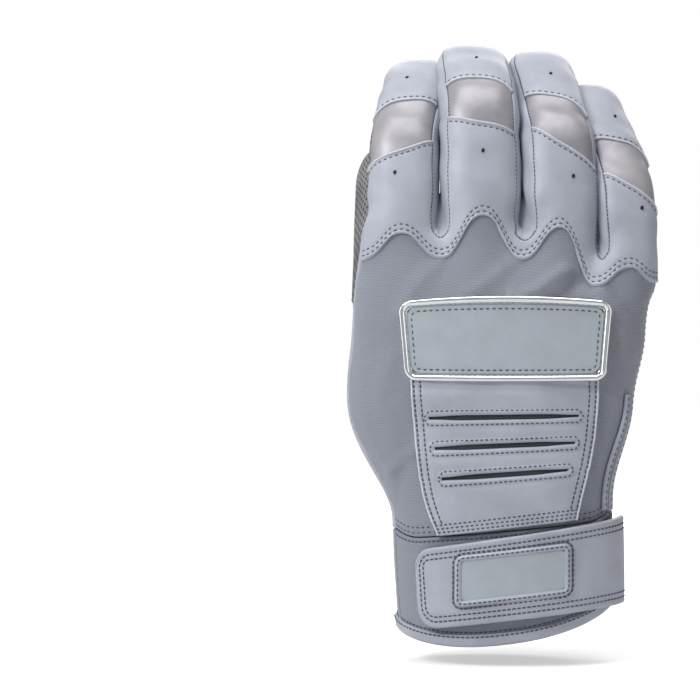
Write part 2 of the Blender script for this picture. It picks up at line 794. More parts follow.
PLATE = metal_material("badge_plate", (170, 179, 186), 0.42, 0.1)
RIM = leather_material("badge_rim", (160, 164, 176), (172, 176, 188), 0.42)
RUBBER = leather_material("patch_rubber", (182, 185, 189), (194, 197, 200), 0.5, grain=2500,
                          strength=0.08)
TURNED = leather_material("turned_leather", (186, 190, 199), (204, 207, 214), 0.4)
HOLE = leather_material("vent_hole", (24, 25, 29), (34, 35, 40), 0.9)


def knuckle_blend(obj):
    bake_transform(obj)


def joint_blend(obj):
    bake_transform(obj)


def named(obj, slot, *nodes):
    if nodes:
        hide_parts(*nodes)
    return obj


# Grids on the hand and on a finger. An edge is one value or a function; crowd tells at which of
# the near, far, low and high edges the grid is finer
ALL_EDGES = (True, True, True, True)
NOT_BELOW = (True, True, False, True)
SIDES_ONLY = (True, True, False, False)
NOT_ABOVE = (True, True, True, False)
ENDS_ONLY = (False, False, True, True)
LOW_AT, HIGH_AT = 200.0, 270.0
FLARE, FLARE_RUN = 3.0, 8.0
ROOT_RUN = 8.0


def as_line(value):
    def same(_):
        return value

    return value if callable(value) else same


def even_share(u, a0, a1, z):
    share = np.linspace(0, 1, 1500)
    run = line_run(hand_point(mix(a0, a1, share), np.full_like(share, z)))
    return np.interp(u, run / run[-1], share)


def hand_grid(a0, a1, low, high, width, height, pitch):
    a0, a1, low, high = map(as_line, (a0, a1, low, high))
    u, v = steps(width, pitch), steps(height, pitch)
    V, U = np.meshgrid(v, u, indexing="ij")
    low_z, high_z = float(low(np.array(LOW_AT))), float(high(np.array(HIGH_AT)))
    level = mix(low_z, high_z, v)
    for j, z in enumerate(level):
        U[j] = even_share(u, float(a0(np.array(z))), float(a1(np.array(z))), z)
    z = np.repeat(level[:, None], len(u), 1)
    for _ in range(4):
        angle = mix(a0(z), a1(z), U)
        z = mix(low(angle), high(angle), V)
    return angle, z, lay(hand_point(angle, z))


def tube_grid(f, a0, a1, low, high, width, height, pitch, crowd, flare=(0, 0)):
    u = steps(width, pitch, crowd[0], crowd[1])
    v = steps(height, pitch, crowd[2], crowd[3])
    V, U = np.meshgrid(v, u, indexing="ij")
    near_root = 1 - smooth(V * height / FLARE_RUN)
    angle = mix(a0 + flare[0] * near_root, a1 + flare[1] * near_root, U)
    s = mix(low(angle), high(angle), V)
    over = np.maximum(0, s - f["end"])
    points = tube(f, np.where(over > 0, -angle, angle), s - 2 * over)
    root = np.clip((s - low(angle) - 1) / ROOT_RUN, 0, 1)
    return angle, s, points, root


def swirl(u, v):
    su = u + 3.6 * np.sin(v / 15 + 0.6) + 2.2 * np.sin((u + v) / 19)
    sv = v + 4.6 * np.sin(u / 16 + 0.4) + 2.2 * np.sin(v / 13 - u / 25)
    return np.stack([su, sv], -1) / DIMPLE


PIT_DEPTH, PIT_RADIUS, PIT_SLOPE = 0.28, 0.72, 0.5


def dimple_depth(cells):
    total = 0.0
    for shift in (0.0, 0.5):
        off = (cells + shift - np.floor(cells + shift) - 0.5) * DIMPLE
        inside = (PIT_RADIUS - np.hypot(off[..., 0], off[..., 1])) / PIT_SLOPE
        total = total + PIT_DEPTH * smooth(inside)
    return total


def crease(x, z, lines, depth, width):
    total = np.zeros_like(x)
    for line in lines:
        nearest = np.full(x.shape, 1e9)
        for (x0, z0), (x1, z1) in zip(line[:-1], line[1:]):
            dx, dz = x1 - x0, z1 - z0
            t = np.clip(((x - x0) * dx + (z - z0) * dz) / (dx * dx + dz * dz), 0, 1)
            nearest = np.minimum(nearest, np.hypot(x - x0 - t * dx, z - z0 - t * dz))
        total = total + depth * np.exp(-((nearest / width) ** 2))
    return total


# Finger pieces: backs, palms and the walls between neighbours
PALM_CORNER = 14
LEATHER_LIFT, PALM_LIFT, WALL_LIFT, SATIN_LIFT = 0.85, 0.35, 0.3, 0.1
PALM_ROLL, WALL_ROLL = (0.6, 0.6, 0, 0), (0.7, 0.7, 0, 0)
BACK_SHARE, WALL_SHARE, OUTER_SHARE = 0.95, 0.6, 1.5
TIP_WRAP, TIP_OVER = 0.7, 1.3
ARCH = (0.8, 2.2)
WEB_RISE, WEB_WIDTH = 17.0, 20.0
OUTSIDE_DROP, OUTSIDE_FADE = 5, 40
FOLD = ((1.95, 0.2), (1.15, 0.12))
TURN_AT, TURN_RADIUS = 0.55, 0.42
SEAM_AT = 0.12


def finger_pieces(k, f):
    name = f["name"]
    near, far = f["corners"]
    outer_near, outer_far = k == 0, k == len(FINGERS) - 1
    pip0, dip0 = reach(f, 270, f["pip_z"]), reach(f, 270, f["dip_z"])
    half, middle = (far - near) / 2, (far + near) / 2
    base_centre = spine_point(f, f["joint"] / 2)
    end_centre = spine_point(f, (f["joint_end"] + f["end"]) / 2)
    base, ends = [], []

    def share_palm(angle):
        a = np.mod(angle - 90, 360)
        return 1 - smooth((np.minimum(a, 360 - a) - 40) / 70)

    def pip(angle):
        a = np.mod(angle, 360)
        lean = np.clip((a - middle) / half, -1.3, 1.3)
        lean = np.where((a > 90) & (a < 360), lean, 1.0)
        back = pip0 + f["slants"][0] * lean - ARCH[0] * lean * lean
        return mix(back, f["joint"] - 1, share_palm(angle))

    def dip(angle):
        lean = (angle - middle) / half
        return dip0 + f["slants"][1] * lean - ARCH[1] * lean * lean

    # The line where the finger begins, raised to a web between neighbours
    def start(angle, web=WEB_RISE):
        x = tube(f, angle, np.zeros_like(angle))[..., 0]
        a = np.mod(angle, 360)
        s = mix(back_cut(x), palm_cut(x), (np.sin(np.radians(a)) + 1) / 2) - f["z"]
        outside = (outer_near & (a > 90) & (a < 270)) | (outer_far & ((a < 90) | (a > 270)))
        lowered = s - OUTSIDE_DROP * (1 - smooth(from_side(angle) / OUTSIDE_FADE))
        raised = s + web * (1 - smooth(from_side(angle) / WEB_WIDTH))
        s = np.where(outside, lowered, raised)
        height = f["z"] + s
        for _ in range(6):
            s = s + 0.7 * (height - tube(f, angle, s)[..., 2])
        return s

    def wrapped(angle):
        lean = np.clip(np.abs(angle - middle) / half, 0, 1)
        return f["end"] + TIP_OVER + TIP_WRAP * (1 - lean ** 3)

    def palm_end(angle):
        return np.full_like(angle, f["end"] - 0.1)

    def sew(piece, low, high, angles, size, material, slot, lift, roll, grooves=(),
            crowd=ALL_EDGES, flare=(0, 0)):
        palm, proximal = material is PALM, piece.startswith("proximal")
        pitch = 0.5 if palm else 1.0
        angle, s, grid, root = tube_grid(f, *angles, low, high, *size, pitch, crowd, flare)
        if proximal:
            ground = smooth((s - start(angle, 0.0) - 1) / ROOT_RUN)
            grid = mix(lay(grid), grid, ground[..., None])
        uv = None
        if palm:
            uv = palm_cells(f, angle, s)
            relief = -dimple_depth(uv) - 0.9 * smooth((s - f["end"] + 5) / 4)
        else:
            around = np.radians(angle) * 2.0
            relief = 0.3 * np.sin(s / 3.1 + around + k) * np.sin(s / 7.3 + k * 2)
        if "fourchette" in piece or "mid" in piece:
            share = (angle - angles[0]) / (angles[1] - angles[0])
            ripple = 0.75 + 0.25 * np.sin(s / 2.6 + 5 * share + k)
            relief = relief * 0.5 + 0.55 * smooth(4 * share * (1 - share)) * ripple
        full = name + "_" + piece
        obj = panel(full, grid, base_centre if proximal else end_centre, material, lift=lift,
                    roll=roll, grooves=grooves, relief=relief * smooth(root), uv=uv)
        PANELS[full]["angle"] = angle
        (base if proximal else ends).append(named(obj, slot, full))

    width, joint, beyond = f["width"], f["joint"], f["end"] - f["joint"]
    back, back_w = (near, far), width * BACK_SHARE
    flare = (0 if outer_near else -FLARE, 0 if outer_far else FLARE)
    sew("proximal_back", start, pip, back, (back_w, joint), LEATHER, "leather", LEATHER_LIFT,
        (0.75, 0.75, 0, 0.8), [(3, *fold) for fold in FOLD], NOT_BELOW, flare)
    sew("mid_back", pip, dip, back, (back_w, dip0 - pip0), SATIN, "satin_leather", SATIN_LIFT,
        (0.6, 0.6, 0, 0))
    tip_size = (back_w, f["end"] - dip0 + TIP_WRAP)
    sew("tip_back", dip, wrapped, back, tip_size, LEATHER, "leather", LEATHER_LIFT,
        (0.75, 0.75, 0.8, 0.6), [(2, *fold) for fold in FOLD])
    palm = (far - 360 if outer_far else PALM_CORNER, near if outer_near else 180 - PALM_CORNER)
    palm_w = width * (OUTER_SHARE if outer_far or outer_near else BACK_SHARE)
    sew("proximal_palm", start, pip, palm, (palm_w, joint), PALM, "palm_leather", PALM_LIFT,
        PALM_ROLL, crowd=SIDES_ONLY)
    sew("distal_palm", pip, palm_end, palm, (palm_w, beyond), PALM, "palm_leather", PALM_LIFT,
        PALM_ROLL, crowd=NOT_BELOW)
    sides = []
    if not outer_far:
        sides.append(("far", (far - 360, PALM_CORNER), (FLARE, 0)))
    if not outer_near:
        sides.append(("near", (180 - PALM_CORNER, near), (0, -FLARE)))
    wall_w = width * WALL_SHARE
    for side, wall, spread in sides:
        sew("proximal_fourchette_" + side, start, pip, wall, (wall_w, joint), LEATHER, "leather",
            WALL_LIFT, WALL_ROLL, crowd=SIDES_ONLY, flare=spread)
        sew("distal_fourchette_" + side, pip, palm_end, wall, (wall_w, beyond), LEATHER, "leather",
            WALL_LIFT, WALL_ROLL, crowd=NOT_BELOW)

    base_lines, end_lines = [], []
    for edge in (0, 1):
        base_lines.append(inset_line(name + "_proximal_back", edge, SEAM_AT, (0, 0)))
        end_lines.append(inset_line(name + "_mid_back", edge, SEAM_AT, (0, 0)))
        end_lines.append(inset_line(name + "_tip_back", edge, SEAM_AT, (0, 3)))
    base.append(named(stitches(name + "_proximal_seam", base_lines, *FINE_STITCH), "dark_elastic"))
    ends.append(named(stitches(name + "_distal_seam", end_lines, *FINE_STITCH), "dark_elastic"))
    for group, part, edge, up in ((base, "_proximal", 3, 0.6), (ends, "_tip", 2, 0.32)):
        stem, piece = name + part, name + part + "_back"
        row = stitches(stem + "_thread", [inset_line(piece, edge, FOLD[0][0])])
        group.append(named(row, "dark_elastic"))
        line = inset_line(piece, edge, TURN_AT, (0.3, 0.3))
        group.append(named(turned_edge(stem + "_fold", [line], TURN_RADIUS), "leather"))
        group.append(named(vent_holes(stem + "_vent", [(piece, 0.5, up)]), "dark_elastic"))
    piece = name + "_proximal_palm"
    holes = vent_holes(name + "_palm_vents", [(piece, 0.5, 0.35), (piece, 0.52, 0.85)])
    base.append(named(holes, "dark_elastic"))
    piece = name + "_distal_palm"
    holes = vent_holes(name + "_palm_tip_vents", [(piece, 0.5, 0.25), (piece, 0.5, 0.45)])
    ends.append(named(holes, "dark_elastic"))
    for obj in base:
        knuckle_blend(obj)
    for obj in ends:
        joint_blend(obj)


def palm_cells(f, angle, s):
    a = np.radians(angle)
    e = 2 / FINGER_SQUARE
    u = power(np.cos(a), e) * f["width"] / 2
    wrap = np.maximum(0, f["depth"] / 2 * (0.6 - power(np.sin(a), e)))
    return swirl(f["x"] + u + np.sign(np.cos(a)) * wrap, f["z"] + s)


# Punched vent holes: a dark plug let into the leather, a little longer than wide
HOLE_SIZE = 0.75
HOLE_SIDES = 14
HOLE_PROFILE = ((1.0, -0.6), (1.0, 0.16), (0.9, 0.24), (0.6, 0.24), (0.3, 0.2))
HOLE_FOOT, HOLE_TOP = -0.5, 0.18


def vent_holes(name, spots):
    points, faces = [], []
    for piece, across, up in spots:
        p = PANELS[piece]
        d, v = p["from_edge"][0], p["from_edge"][2]
        spine_run = v[:, v.shape[1] // 2]
        row = int(np.argmin(np.abs(spine_run - up * spine_run[-1])))
        column = int(np.argmin(np.abs(d[row] - across * d[row, -1])))
        n, centre = p["normal"][row, column], p["flat"][row, column]
        centre = centre + n * max(0.0, float(np.dot(p["outer"][row, column] - centre, n)))
        t = unit(np.cross(n, (0.3, 0.1, 1.0)))
        b = np.cross(n, t)
        base = len(points)
        for r, h in HOLE_PROFILE:
            for k in range(HOLE_SIDES):
                q = 2 * math.pi * k / HOLE_SIDES
                out = t * math.cos(q) * 0.75 + b * math.sin(q)
                points.append(centre + HOLE_SIZE * r * out + n * h)
        points.append(centre + n * HOLE_FOOT)
        points.append(centre + n * HOLE_TOP)
        last = base + (len(HOLE_PROFILE) - 1) * HOLE_SIDES
        for r0 in range(base, last, HOLE_SIDES):
            for k in range(HOLE_SIDES):
                m = (k + 1) % HOLE_SIDES
                faces.append((r0 + k, r0 + m, r0 + HOLE_SIDES + m, r0 + HOLE_SIDES + k))
        for k in range(HOLE_SIDES):
            m = (k + 1) % HOLE_SIDES
            faces.append((base + m, base + k, len(points) - 2))
            faces.append((last + k, last + m, len(points) - 1))
    return link_mesh(name, np.array(points), faces, HOLE)


for number, each in enumerate(FINGERS):
    finger_pieces(number, each)


# Hand panels
HAND_CENTRE = (0.0, 2.0, 95.0)
SEAM = 0.5
PINKY_EDGE = 17
PALM_THUMB_EDGE = 138
THUMB_BEND = -24.0
BACK_THUMB_EDGE = 194
SIDE_SPLIT = (18.0, 142.0)
CUFF_TOP = 41.2
YOKE_LIFT, YOKE_CORNER = 1.15, 8.0
SCALLOP = np.array([
    (-60, 126), (-46.5, 132), (-35.2, 140.4), (-21, 131.4), (-6.8, 146.7), (6.8, 131),
    (20.3, 142.4), (31.4, 121.8), (43.8, 128.4), (51.5, 123.6), (60, 120),
])
UNDER_SIDE = (11, 6)
SIDE_ROLL = (0.6, 0.6, 0.6, 0)
EVEN_ROLL = (0.3, 0.3, 0.3, 0.3)
PATCH = dict(x=0.0, z=27.0, width=40.0, height=15.0, corner=3.2)


def scallop(x):
    x = np.asarray(x, float)
    k = np.clip(np.searchsorted(SCALLOP[:, 0], x) - 1, 0, len(SCALLOP) - 2)
    t = (x - SCALLOP[k, 0]) / (SCALLOP[k + 1, 0] - SCALLOP[k, 0])
    return mix(SCALLOP[k, 1], SCALLOP[k + 1, 1], smooth((t + smooth(t)) / 2))


# The knit's top edge, kept under the yoke and higher at the two sides
def cover(x):
    at_side = smooth((np.abs(x - 2) - 43) / 5)
    under = np.where(x < 0, *UNDER_SIDE) * at_side
    return np.maximum(np.maximum(scallop(x - 4), scallop(x + 4)), scallop(x)) + 2 + under


def cuff_top(angle):
    turn = np.radians(angle)
    return CUFF_TOP - 1.2 * np.cos(turn) - 2.8 * smooth((-np.sin(turn) - 0.2) / 0.5)


def above_cuff(angle):
    return cuff_top(angle) + 0.4


def top_x(angle):
    return hand_point(angle, np.full_like(angle, 145.0))[..., 0]


def vent_edge(z):
    return 360 - PINKY_EDGE - SEAM - 5 * smooth((84 - z) / 30)


def ride_hand(obj, slot, *nodes):
    named(obj, slot, *nodes)
    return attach(obj, "hand")


BACK_FOLDS = [
    ([(22, 128), (12, 121), (3, 117.5)], 0.9, 2.2),
    ([(27, 124), (17, 116.5), (8, 113)], -0.7, 2.0),
    ([(4, 131), (-6, 123), (-14, 119)], 0.55, 2.4),
    ([(33, 120), (40, 108), (42, 98)], 0.8, 2.4),
    ([(38, 121), (45, 112), (47, 102)], -0.6, 2.2),
    ([(-22, 130), (-30, 122), (-36, 112)], 0.5, 2.8),
    ([(36, 96), (41, 80), (40, 66)], 0.7, 2.4),
    ([(-38, 98), (-42, 84), (-37, 70)], 0.4, 3.0),
    ([(-33, 62), (-36, 54), (-37, 48)], -0.5, 2.2),
    ([(28, 62), (33, 54), (34, 49)], -0.5, 2.0),
    ([(-27, 70), (-34, 62), (-39, 58)], 0.45, 2.0),
]


def folds(grid, lines):
    total = np.zeros(grid.shape[:2])
    for line, height, width in lines:
        total += crease(grid[..., 0], grid[..., 2], [line], height, width)
    return total


def first_row(name):
    return PANELS[name]["grid"][0], PANELS[name]["normal"][0]


def evenly(row, count):
    run = line_run(row)
    return points_at(np.linspace(0, run[-1], count), run, row)


def crotch_name(k):
    return "crotch_" + FINGERS[k]["name"] + "_" + FINGERS[k + 1]["name"]


CROTCH_SAG, CROTCH_ROWS = 3.2, 34


def make_crotches():
    for k, (a, b) in enumerate(zip(FINGERS[:-1], FINGERS[1:])):
        name = crotch_name(k)
        near = evenly(first_row(a["name"] + "_proximal_fourchette_far")[0], CROTCH_ROWS)
        far = evenly(first_row(b["name"] + "_proximal_fourchette_near")[0][::-1], CROTCH_ROWS)
        u = steps(4.5, 0.5, False, False)
        grid = mix(near[:, None], far[:, None], u[None, :, None])
        on_top = 1 - smooth(np.linspace(0, 1, CROTCH_ROWS) / 0.3)[:, None]
        grid[..., 2] -= mix(1.0, CROTCH_SAG, on_top) * 4 * u * (1 - u)
        grid = mix(grid, lay(grid), on_top[..., None])
        obj = panel(name, grid, grid.mean((0, 1)) - (0, 0, 8), LEATHER, lift=WALL_LIFT,
                    roll=(0, 0, 0.5, 0.5), settles=0)
        ride_hand(obj, "leather", name)


def joined(rows):
    points = np.concatenate([row[0] for row in rows])
    normals = np.concatenate([row[1] if len(row) > 1 else np.zeros_like(row[0]) for row in rows])
    return points, normals


def meet(normal, edge):
    has = np.linalg.norm(edge, axis=-1) > 0.5
    normal[-1, has] = edge[has]
    normal[-2, has] = unit(normal[-2, has] + edge[has])
    return normal


def make_yoke():
    rows, valleys = [], []
    for k, f in enumerate(FINGERS):
        rows.append(first_row(f["name"] + "_proximal_back"))
        if k < len(FINGERS) - 1:
            line = PANELS[crotch_name(k)]["grid"][0]
            rows.append((line[1:-1],))
            valleys.append(line)
    top, edge = joined(rows)
    bottom = on_back(top[:, 0], scallop(top[:, 0]))
    along = line_run(top)
    corner = hand_point(np.array([BACK_THUMB_EDGE + 2.0]), np.array([bottom[0, 2] - 1]))
    pull = (1 - smooth(along / YOKE_CORNER))[:, None]
    bottom = lay(bottom + (lay(corner)[0] - bottom[0]) * pull)
    v = steps(8, 0.8, True, False)
    grid = lay(mix(bottom[None], top[None], v[:, None, None]))
    for _ in range(3):
        grid[0], grid[-1] = bottom, top
        grid = settle(grid, 1)
    grid[-1] = top
    normal = meet(grid_normals(grid, HAND_CENTRE), edge)
    seam = np.concatenate(valleys)
    away = np.linalg.norm(grid[:, :, None] - seam, axis=-1).min(-1)
    lift = np.broadcast_to((LEATHER_LIFT - YOKE_LIFT) * v[:, None], grid.shape[:2])
    obj = panel("knuckle_yoke", grid, HAND_CENTRE, LEATHER, thick=1.2, lift=YOKE_LIFT,
                roll=(0.75, 0.75, 0.8, 0), grooves=((2, 1.7, 0.2), (2, 3.5, 0.2), (2, 0.8, -0.12)),
                relief=lift - rolled(away, 0.75), settles=0, normal=normal)
    ride_hand(obj, "leather", "knuckle_yoke")
    lines, outer = [], PANELS["knuckle_yoke"]["outer"]
    for line in valleys:
        columns = [int(np.argmin(np.linalg.norm(top - p, axis=1))) for p in line]
        lines.append((outer[-1, columns], normal[-1, columns]))
    ride_hand(stitches("crotch_thread", lines, *FINE_STITCH), "dark_elastic")


# The angle round the hand at which a point lies
def hand_angle(points):
    form = station(points[:, 2])
    left, right, back, palm, square = (form[:, i] for i in range(1, 6))
    c = power((points[:, 0] - (right - left) / 2) / ((left + right) / 2), square / 2)
    y = points[:, 1]
    sine = power(y / np.where(y > 0, palm, back), square / 2)
    return np.degrees(np.arctan2(sine, c))


# A panel that hangs from the finger bases down to the cuff
HANG_HEIGHT, HANG_FADE = 95, 0.14


def hanging_grid(top, edge, a0, a1, pitch, bend=(0, 0)):
    turn = np.mod(hand_angle(top) + 60, 360) - 60
    run = line_run(top * (1, 1, 0))
    share = run / run[-1]
    low_angle = mix(a0, a1, even_share(share, a0, a1, CUFF_TOP))
    v = steps(HANG_HEIGHT, pitch, True, False)[:, None]
    z = mix(above_cuff(low_angle), top[None, :, 2], v)
    angle = mix(low_angle, turn, smooth(v)) + mix(*bend, share) * np.sin(np.pi * v) ** 2
    grid = lay(hand_point(angle, z))
    fade = smooth((v - (1 - HANG_FADE)) / HANG_FADE)
    grid = grid + (top - grid[-1]) * fade[..., None]
    for _ in range(3):
        grid = settle(grid, 1)
        grid[-1] = top
    return angle, z, grid, meet(grid_normals(grid, HAND_CENTRE), edge)


PALM_LINES = [
    [(45.5, 102.8), (25, 110), (7, 115)],
    [(44, 91.8), (12, 100), (-23.5, 115)],
    [(15, 66.6), (-5, 93.5), (-38, 114.3)],
    [(-18.9, 62.8), (-23.5, 87.3), (-33.5, 109.7), (-40, 116.6)],
    [(-8, 131), (-16, 124), (-36, 119)],
]


def make_palm():
    rows = []
    for k in reversed(range(len(FINGERS))):
        rows.append(first_row(FINGERS[k]["name"] + "_proximal_palm"))
        if k > 0:
            rows.append((PANELS[crotch_name(k - 1)]["grid"][-1][::-1][1:-1],))
    top, edge = joined(rows)
    pinky = PANELS["pinky_proximal_palm"]["angle"][0]
    index = PANELS["index_proximal_palm"]["angle"][0]
    first = int(np.argmin(np.abs(pinky - SIDE_SPLIT[0])))
    last = len(top) - len(index) + int(np.argmin(np.abs(index - SIDE_SPLIT[1])))

    part = slice(0, first + 1)
    _, _, grid, normal = hanging_grid(top[part], edge[part], -PINKY_EDGE, PINKY_EDGE, 1.2)
    obj = panel("edge_side_panel", grid, HAND_CENTRE, LEATHER, lift=PALM_LIFT, roll=SIDE_ROLL,
                normal=normal, grooves=((0, 1.8, 0.14), (1, 1.8, 0.14)), settles=0)
    ride_hand(obj, "leather", "edge_side_panel")

    part = slice(last, None)
    angle, z, grid, normal = hanging_grid(top[part], edge[part], PALM_THUMB_EDGE + SEAM,
                                          BACK_THUMB_EDGE, 1.2, (THUMB_BEND, 0))
    relief = 0.25 * np.sin(z / 5.0 + angle / 9.0) * smooth((top[part, 2] - z) / 15)
    obj = panel("thumb_side_panel", grid, HAND_CENTRE, LEATHER, lift=PALM_LIFT, roll=SIDE_ROLL,
                normal=normal, grooves=((0, 1.5, 0.14), (0, 3.2, 0.14)), relief=relief, settles=0)
    ride_hand(obj, "leather", "thumb_side_panel")

    part = slice(first, last + 1)
    angle, z, grid, normal = hanging_grid(top[part], edge[part], PINKY_EDGE + SEAM,
                                          PALM_THUMB_EDGE, 0.55, (0, THUMB_BEND))
    x = grid[..., 0]
    cells = swirl(x + np.sign(x) * np.maximum(0, 9 - grid[..., 1]), z)
    relief = -dimple_depth(cells) - crease(x, grid[..., 2], PALM_LINES, 1.5, 1.0)
    relief = relief * smooth((top[part, 2] - z) / 2)
    obj = panel("palm_panel", grid, HAND_CENTRE, PALM, lift=PALM_LIFT, roll=SIDE_ROLL,
                relief=relief, uv=cells, settles=0, normal=normal)
    ride_hand(obj, "palm_leather", "palm_panel")


# The knit of the back reaches under its neighbours at both sides
def back_near(z):
    return BACK_THUMB_EDGE - 3 - 12 * smooth((z - 60) / 60)


def back_far(z):
    return vent_edge(z) + 4 + 18 * smooth((z - 60) / 60)


def back_top(angle):
    return cover(top_x(angle))


def binding_near(z):
    return vent_edge(z) - 6.5


def binding_far(z):
    return vent_edge(z) - 0.4


HAND_ROWS = (
    ("knuckle_yoke", 2, 1.7), ("knuckle_yoke", 2, 3.5), ("vent_binding", 0, 1.3),
    ("back_stretch_panel", 2, 1.4), ("back_stretch_panel", 2, 3.2),
    ("edge_side_panel", 0, 1.8), ("edge_side_panel", 1, 1.8),
    ("thumb_side_panel", 0, 1.5), ("thumb_side_panel", 0, 3.2), ("palm_panel", 2, 1.6),
)


def make_hand():
    make_crotches()
    make_yoke()
    make_palm()
    _, _, grid = hand_grid(back_near, back_far, above_cuff, back_top, 116, 92, 1.1)
    across = run_lengths(grid, 1)
    inward = np.minimum(across, across[:, -1:] - across)
    relief = mix(-0.4, 1.35 * folds(grid, BACK_FOLDS), smooth((inward - 5) / 5))
    obj = panel("back_stretch_panel", grid, HAND_CENTRE, STRETCH, thick=1.0, lift=0.1,
                roll=(0.6, 0.7, 0.7, 0), grooves=((2, 1.4, 0.15), (2, 3.2, 0.15)), relief=relief)
    ride_hand(obj, "stretch_knit", "back_stretch_panel")

    _, _, grid = hand_grid(binding_near, binding_far, CUFF_TOP + 0.2, 85.0, 4.5, 40, 0.8)
    obj = panel("vent_binding", grid, HAND_CENTRE, LEATHER, thick=1.0, lift=1.15,
                roll=(0.7, 0.9, 0.4, 0.7), grooves=((0, 1.3, 0.15),))
    ride_hand(obj, "leather", "vent_binding")
    lines = [inset_line(*row) for row in HAND_ROWS]
    ride_hand(stitches("hand_thread", lines), "dark_elastic")


make_hand()


# Centre panel with three slots over dark elastic
FLEX_TOP, FLEX_BOTTOM = 92.0, 39.4
FLEX_HEIGHTS = (40, 47, 53, 59, 66, 78, 94)
FLEX_LEFT = (-22.0, -25.0, -27.0, -28.2, -29.3, -30.6, -32.0)
FLEX_RIGHT = (25.0, 26.4, 27.8, 29.2, 30.8, 32.0, 33.2)
SLOTS = [(77.4, -25, 25.6), (67.6, -23.2, 24.4), (57.8, -20.2, 22.2)]
SLOT_HEIGHT = 1.8
SLOT_TAPER = 0.35
FLEX_LIFT = 1.75
SLOT_ROWS = (-1.6, -0.9, -0.4, 0, SLOT_HEIGHT)
SLOT_ROWS_ABOVE = (0.4, 0.9, 1.6)
NO_ROLL = (0.0, 0.0, 0.0, 0.0)


def eased(z, heights, values):
    fine = np.linspace(heights[0], heights[-1], 109)
    line = np.interp(fine, heights, values)
    for _ in range(60):
        line[1:-1] = line[1:-1] * 0.5 + (line[2:] + line[:-2]) * 0.25
    return np.interp(z, fine, line)


def flex_edge(z):
    return eased(z, FLEX_HEIGHTS, FLEX_LEFT), eased(z, FLEX_HEIGHTS, FLEX_RIGHT)


def make_flex():
    extra_z, extra_u = [], []
    reach_z = SLOT_HEIGHT / 2
    for z, left, right in SLOTS:
        a, b = flex_edge(z)
        extra_u += [(left - a) / (b - a), (right - a) / (b - a)]
        extra_z += [z - reach_z + d - FLEX_BOTTOM for d in SLOT_ROWS]
        extra_z += [z + reach_z + d - FLEX_BOTTOM for d in SLOT_ROWS_ABOVE]
    v = steps(FLEX_TOP - FLEX_BOTTOM, 1.1, True, False, extra_z)
    u = np.unique(np.round(np.concatenate([steps(58, 1.1), extra_u]), 5))
    V, U = np.meshgrid(v, u, indexing="ij")
    z = mix(FLEX_BOTTOM, FLEX_TOP, V)
    x = mix(*flex_edge(z), U)
    narrowed = z.copy()
    for sz, sl, sr in SLOTS:
        wide = mix(SLOT_TAPER, 1.0, smooth(np.minimum(x - sl, sr - x) / 12))
        near = 1 - smooth((np.abs(z - sz) - reach_z) / 2)
        narrowed = narrowed - np.clip(z - sz, -reach_z, reach_z) * (1 - wide) * near
    grid = on_back(x, narrowed + x * slope(z))
    keep = np.ones((len(v) - 1, len(u) - 1), bool)
    middle_z = (z[1:, 1:] + z[:-1, 1:]) / 2
    middle_u = (U[1:, 1:] + U[1:, :-1]) / 2
    relief = 0.22 * np.sin(x / 6.0 + z / 9.0) * np.sin(z / 5.0) - 1.0 * smooth((z - 85) / 3)
    for (sz, sl, sr), u0, u1 in zip(SLOTS, extra_u[::2], extra_u[1::2]):
        keep &= ~((np.abs(middle_z - sz) < reach_z) & (middle_u > u0) & (middle_u < u1))
        above = np.maximum(0, np.abs(z - sz) - reach_z)
        away = np.hypot(above, np.maximum(0, np.maximum(sl - x, x - sr)))
        relief = relief + 0.2 * np.exp(-(((away - 0.9) / 0.7) ** 2))
        relief = relief - 0.35 * np.exp(-((away / 0.45) ** 2))
        relief = relief - 0.22 * np.exp(-(((away - 1.9) / 0.5) ** 2))
    grooves = [(edge, d, depth) for d, depth in ((1.3, 0.25), (3.5, 0.2)) for edge in (0, 1)]
    grooves += [(2, d, 0.16) for d in (1.2, 2.5, 3.8)]
    obj = panel("flex_panel", grid, HAND_CENTRE, LEATHER, thick=1.0, lift=FLEX_LIFT,
                roll=(0.8, 0.8, 0.5, 0), grooves=grooves, relief=relief, keep=keep)
    ride_hand(obj, "leather", "flex_panel")
    sides = [inset_line("flex_panel", edge, d, (4.5, 0)) for edge in (0, 1) for d in (1.3, 3.5)]
    ride_hand(stitches("flex_edge_thread", sides, *LINE_STITCH), "dark_elastic")
    sides = [inset_line("flex_panel", edge, TURN_AT, (0.3, 0)) for edge in (0, 1)]
    ride_hand(turned_edge("flex_fold", sides, TURN_RADIUS), "leather")
    lines = [inset_line("flex_panel", 2, d) for d in (1.2, 2.5, 3.8)]
    for sz, sl, sr in SLOTS:
        half = [(sl - 1.9, 0), (sl - 0.3, 2.3), (sr + 0.3, 2.3), (sr + 1.9, 0)]
        border = half + [(bx, -bz) for bx, bz in half[2::-1]]
        lines.append(flex_line([(bx, sz + bz) for bx, bz in border]))
    ride_hand(stitches("flex_thread", lines, 1.7, 1.35, 0.24), "dark_elastic")

    u, v = np.meshgrid(np.linspace(0.06, 0.94, 50), np.linspace(0.12, 0.86, 34))
    z = mix(FLEX_BOTTOM, FLEX_TOP, v)
    x = mix(*flex_edge(z), u)
    grid = on_back(x, z + x * slope(z))
    obj = panel("flex_liner", grid, HAND_CENTRE, DARK, thick=0.5, lift=0.72, roll=NO_ROLL)
    ride_hand(obj, "dark_elastic", "flex_liner")


